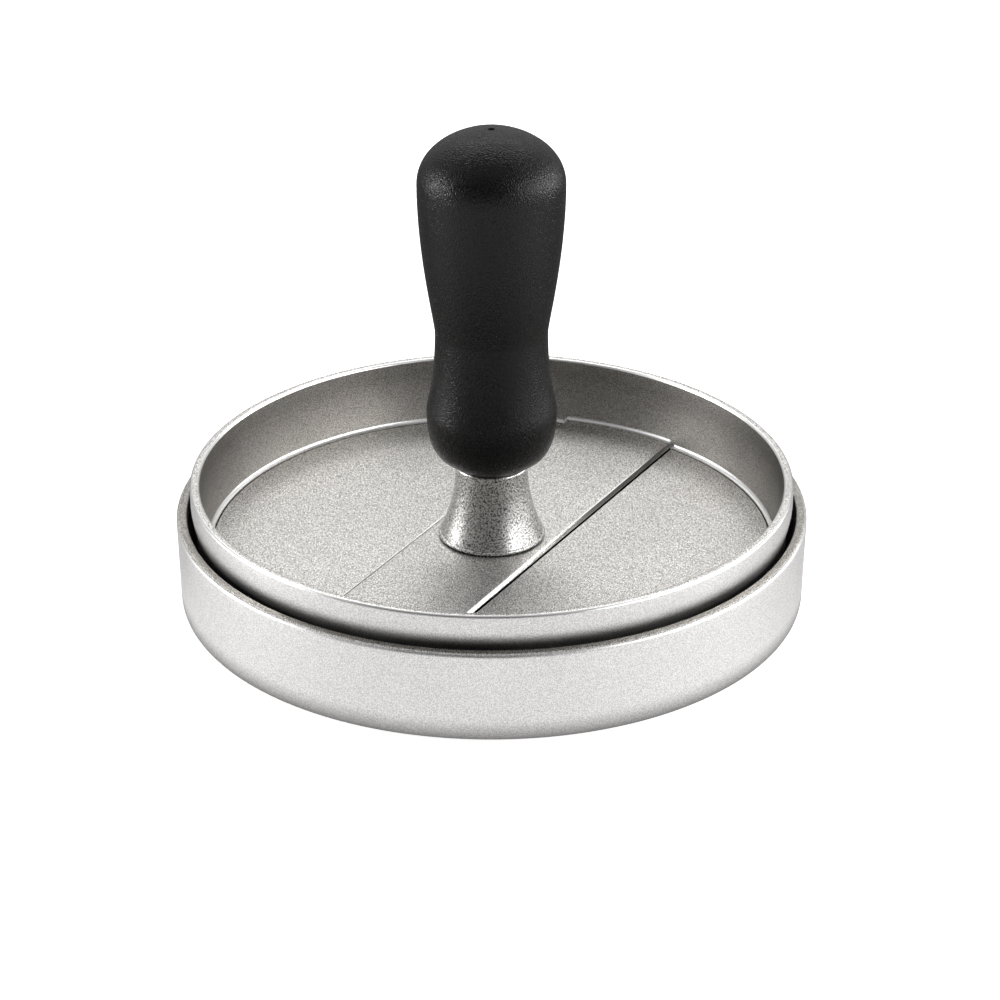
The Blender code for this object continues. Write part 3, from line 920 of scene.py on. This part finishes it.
def edges_and_rim(tree, coords):
    """Two masks: the press's fillets and rim where they slant (polish and a painted highlight), and the
    top of the mould's rim (painted shade).
    """
    on_press = within_press(tree, coords)
    up = facing_up(tree)
    not_upright = rising(tree, up, EDGE_UP, smooth=True)
    not_level = falling(tree, up, EDGE_LEVEL_UP, smooth=True)
    edges = times(tree, on_press, times(tree, not_upright, not_level))
    rim = times(tree, inverse(tree, on_press), rising(tree, up, RIM_UP, smooth=True))
    return edges, rim


def floor_steps(tree, coords):
    """Two masks inside the press's wall: the steep parts of its floor, and the lines sunk in it, which get
    painted shade.
    """
    height = z_of(tree, coords)
    radius = distance_from_axis(tree, coords)
    above = rising(tree, height, FLOOR_START)
    steep = times(tree, falling(tree, radius, STEP_REACH), falling(tree, facing_up(tree), STEP_UP))
    inside = times(tree, above, falling(tree, radius, LINE_REACH))
    return times(tree, above, steep), times(tree, inside, falling(tree, height, LINE_DEPTH))


def dish_colour(tree, coords, speckle, middle):
    """Speckle that is strong on level faces and weaker on walls, with painted shade: inner walls darken
    upwards, the press's outer wall is darker where it goes into the mould, and so is the mould's foot."""
    outward = facing_outward(tree)
    height = z_of(tree, coords)
    inner = ramp(tree, outward, 1.0, INNER_GRAIN, *INNER_OUT, smooth=True)
    outer = ramp(tree, outward, 1.0, OUTER_GRAIN, *OUTER_OUT, smooth=True)
    colour = mix_colours(tree, inner, middle, speckle)
    colour = mix_colours(tree, outer, OUTSIDE, colour)
    # painted shade on the inner walls, deeper higher up
    wall_shade = mix_colours(tree, rising(tree, height, WALL_RISE), WALL_SHADE_LOW, WALL_SHADE_HIGH)
    wall = falling(tree, outward, WALL_OUT, smooth=True)
    colour = mix_colours(tree, wall, colour, multiplied(tree, colour, wall_shade))
    # painted shade on the mould near the floor
    low = falling(tree, height, (mould_low.z, mould_low.z + FOOT_SHADE_HEIGHT), smooth=True)
    colour = mix_colours(tree, low, colour, multiplied(tree, colour, FOOT_SHADE))
    # painted shade where the press's outer wall goes down into the mould
    below_band = inverse(tree, rising(tree, height, GAP_SHADE_BAND, smooth=True))
    gap_shaded = times(tree, below_band, rising(tree, outward, OUTER_OUT))
    gap_shaded = times(tree, gap_shaded, within_press(tree, coords))
    return mix_colours(tree, gap_shaded, colour, multiplied(tree, colour, GAP_SHADE_TINT))


def make_metal(name, dark, light, roughness, grain_scale, grain_range, relief, edge_tint, dish=False):
    """Blasted aluminium: fine light and dark grains that also stand in relief, over slow clouding. Where
    the grain runs from near black to white, as on the collar, it also paints glints.
    """
    cloud_scale, cloud_detail, cloud_roughness = 60.0, 3.0, 0.04
    material, tree, shader, coords = new_material(name)
    fine = noise(tree, turned(tree, coords), grain_scale, detail=1.0)
    slow = noise(tree, coords, cloud_scale, cloud_detail)
    colour = mix_colours(tree, rising(tree, fine, grain_range), dark, light)
    clouded = plus(tree, ramp(tree, slow, -cloud_roughness, cloud_roughness, *CLOUD_RANGE), roughness)
    if dish:
        middle = tuple((a + b) / 2 for a, b in zip(dark, light))
        colour = dish_colour(tree, coords, colour, middle)
        edges, rim = edges_and_rim(tree, coords)
        # painted shade on the top of the mould's rim
        colour = mix_colours(tree, rim, colour, multiplied(tree, colour, RIM_SHADE))
        # polish and a painted highlight on the press's fillets and rim edges
        colour = mix_colours(tree, times(tree, edges, EDGE_POLISH_AND_HIGHLIGHT_AMOUNT), colour, EDGE_POLISH_AND_HIGHLIGHT_COLOUR)
        steps, lines = floor_steps(tree, coords)
        # painted shade: the sunk lines near black
        colour = mix_colours(tree, lines, mix_colours(tree, steps, colour, STEP_COLOUR), LINE_SHADE_COLOUR)
        clouded = plus(tree, clouded, times(tree, edges, EDGE_GLOSS))
        clouded = plus(tree, clouded, times(tree, steps, STEP_GLOSS))
    tree.links.new(colour, shader.inputs["Base Color"])
    tree.links.new(clouded, shader.inputs["Roughness"])
    shader.inputs["Metallic"].default_value = 1.0
    shader.inputs["Specular Tint"].default_value = (*edge_tint, 1.0)
    add_bump(tree, shader, fine, relief)
    return material


def make_plated(name, dark, light, roughness):
    """Turned or rolled metal: fine streaks round the axis and a little clouding."""
    streak_scale, streak_detail, streak_relief = (60.0, 60.0, 4000.0), 2.0, 0.000004
    cloud_scale, cloud_detail, cloud_colour = 500.0, 3.0, (0.35, 0.65)
    smoother, rougher = roughness - 0.05, roughness + 0.08
    material, tree, shader, coords = new_material(name)
    inputs = {"Vector": coords, "Scale": streak_scale}
    streaks = add_node(tree, "ShaderNodeMapping", inputs).outputs["Vector"]
    lines = noise(tree, streaks, scale=1.0, detail=streak_detail)
    cloud = noise(tree, coords, cloud_scale, cloud_detail)
    colour = mix_colours(tree, rising(tree, cloud, cloud_colour), dark, light)
    tree.links.new(colour, shader.inputs["Base Color"])
    tree.links.new(ramp(tree, cloud, smoother, rougher, *CLOUD_RANGE), shader.inputs["Roughness"])
    shader.inputs["Metallic"].default_value = 1.0
    add_bump(tree, shader, lines, streak_relief)
    return material


def make_plastic(name, dark, light, roughness_range, specular):
    """Moulded black plastic with a fine pebble grain."""
    pebble_scale, pebble_relief, pebble_roughness, pebble_range = 3300.0, 0.00012, 0.08, (0.4, 0.6)
    cloud_scale, cloud_detail = 45.0, 2.0
    material, tree, shader, coords = new_material(name)
    pebble = noise(tree, turned(tree, coords), pebble_scale, detail=0.0)
    slow = noise(tree, coords, cloud_scale, cloud_detail)
    tree.links.new(mix_colours(tree, slow, dark, light), shader.inputs["Base Color"])
    clouded = ramp(tree, slow, *roughness_range, *CLOUD_RANGE)
    speckled = plus(tree, clouded, ramp(tree, pebble, -pebble_roughness, pebble_roughness, *pebble_range))
    tree.links.new(speckled, shader.inputs["Roughness"])
    shader.inputs["Specular IOR Level"].default_value = specular
    add_bump(tree, shader, pebble, pebble_relief)
    return material


# Studio


def studio_point(right, away, up):
    """A place given as seen from the camera: to its right, away from it and up, from the axis."""
    cos, sin = math.cos(VIEW_TURN), math.sin(VIEW_TURN)
    return Vector((right * cos - away * sin, right * sin + away * cos, up))


def add_camera():
    data = bpy.data.cameras.new("camera")
    data.lens = VIEW_LENS
    data.sensor_width = SENSOR_WIDTH
    data.clip_start = CLIP_START
    camera = bpy.data.objects.new("camera", data)
    bpy.context.scene.collection.objects.link(camera)
    back = studio_point(0, -math.cos(VIEW_ELEVATION), math.sin(VIEW_ELEVATION))
    right = studio_point(1, 0, 0)
    up = studio_point(0, math.sin(VIEW_ELEVATION), math.cos(VIEW_ELEVATION))
    aim = Vector((0, 0, PRESS_RIM_TOP)) + right * AIM_RIGHT + up * AIM_UP
    camera.location = aim + back * VIEW_DISTANCE
    camera.rotation_euler = (-back).to_track_quat("-Z", "Y").to_euler()
    bpy.context.scene.camera = camera


def add_softbox(name, place, size, power):
    """A soft light that faces LIGHT_TARGET."""
    data = bpy.data.lights.new(name, "AREA")
    data.shape = "RECTANGLE"
    data.size, data.size_y = size
    data.energy = power
    light = bpy.data.objects.new(name, data)
    bpy.context.scene.collection.objects.link(light)
    light.location = place
    light.rotation_euler = (LIGHT_TARGET - place).to_track_quat("-Z", "Y").to_euler()


def add_sheet(name, drop):
    """A level sheet of paper, drop below the object's foot. It is part of the studio."""
    bm = bmesh.new()
    bmesh.ops.create_grid(bm, x_segments=PAPER_SEGMENTS, y_segments=PAPER_SEGMENTS, size=PAPER_SIZE)
    mesh = bpy.data.meshes.new(name)
    bm.to_mesh(mesh)
    bm.free()
    sheet = bpy.data.objects.new(name, mesh)
    bpy.context.scene.collection.objects.link(sheet)
    sheet.location.z = mould_low.z - drop
    material, tree, shader, coords = new_material(name + "_paper")
    shader.inputs["Roughness"].default_value = PAPER_ROUGHNESS
    shader.inputs["Emission Color"].default_value = (1, 1, 1, 1)
    mesh.materials.append(material)
    return sheet, tree, shader, coords


def add_floor():
    """The white floor that shows, and the one that the object reflects, which darkens behind it."""
    floor, _, shader, _ = add_sheet("studio_floor", FLOOR_DROP)
    shader.inputs["Base Color"].default_value = (*FLOOR_COLOUR, 1.0)
    shader.inputs["Emission Strength"].default_value = FLOOR_GLOW
    floor.visible_glossy = False
    floor.visible_diffuse = False
    bounce, tree, shader, coords = add_sheet("studio_bounce", BOUNCE_DROP)
    behind = rising(tree, dot(tree, coords, tuple(studio_point(0, 1, 0))), BOUNCE_EDGE, smooth=True)
    before_colour, behind_colour = ((grey, grey, grey) for grey in BOUNCE_GREY)
    tree.links.new(mix_colours(tree, behind, before_colour, behind_colour), shader.inputs["Base Color"])
    tree.links.new(ramp(tree, behind, *BOUNCE_GLOW), shader.inputs["Emission Strength"])
    bounce.visible_camera = False


def add_world():
    """A dark studio with a pale wall behind the object."""
    world = bpy.data.worlds.new("studio_world")
    world.use_nodes = True
    tree = world.node_tree
    direction = tree.nodes.new("ShaderNodeTexCoord").outputs["Generated"]
    wall = rising(tree, dot(tree, direction, tuple(studio_point(0, 1, 0))), WALL_EDGE, smooth=True)
    background = tree.nodes["Background"]
    background.inputs["Color"].default_value = (1, 1, 1, 1)
    tree.links.new(ramp(tree, wall, WORLD_DARK, WORLD_WHITE), background.inputs["Strength"])
    bpy.context.scene.world = world
    bpy.context.scene.view_settings.view_transform = "Standard"


cast = make_metal(
    "cast_aluminium",
    dark=(0.275, 0.264, 0.249),
    light=(1.0, 0.982, 0.955),
    roughness=0.44,
    grain_scale=5000.0,
    grain_range=(0.465, 0.535),
    relief=0.00002,
    edge_tint=(0.6, 0.6, 0.6),
    dish=True,
)
# The collar's grain runs from near black to white: blasted grain, and painted glints as well.
blasted_with_painted_glints = make_metal(
    "collar_aluminium",
    dark=(0.03, 0.03, 0.029),
    light=(1.0, 0.99, 0.98),
    roughness=0.31,
    grain_scale=4400.0,
    grain_range=(0.435, 0.47),
    relief=0.00005,
    edge_tint=(1.0, 1.0, 1.0),
)
plastic = make_plastic(
    "handle_plastic",
    dark=(0.003, 0.003, 0.0032),
    light=(0.005, 0.005, 0.0048),
    roughness_range=(0.32, 0.38),
    specular=0.21,
)
zinc = make_plated("zinc_plate", dark=(0.50, 0.51, 0.53), light=(0.70, 0.71, 0.72), roughness=0.26)
brass = make_plated("brass", dark=(0.55, 0.36, 0.13), light=(0.78, 0.56, 0.24), roughness=0.28)

add_camera()
add_floor()
for box_name, box_place, box_size, box_power in SOFTBOXES:
    add_softbox(box_name, studio_point(*box_place), box_size, box_power)
add_world()

make_mould(cast)
make_press(cast)
make_collar(blasted_with_painted_glints)
make_grip(plastic)
make_insert(brass)
make_screw(zinc)
make_washers(zinc)
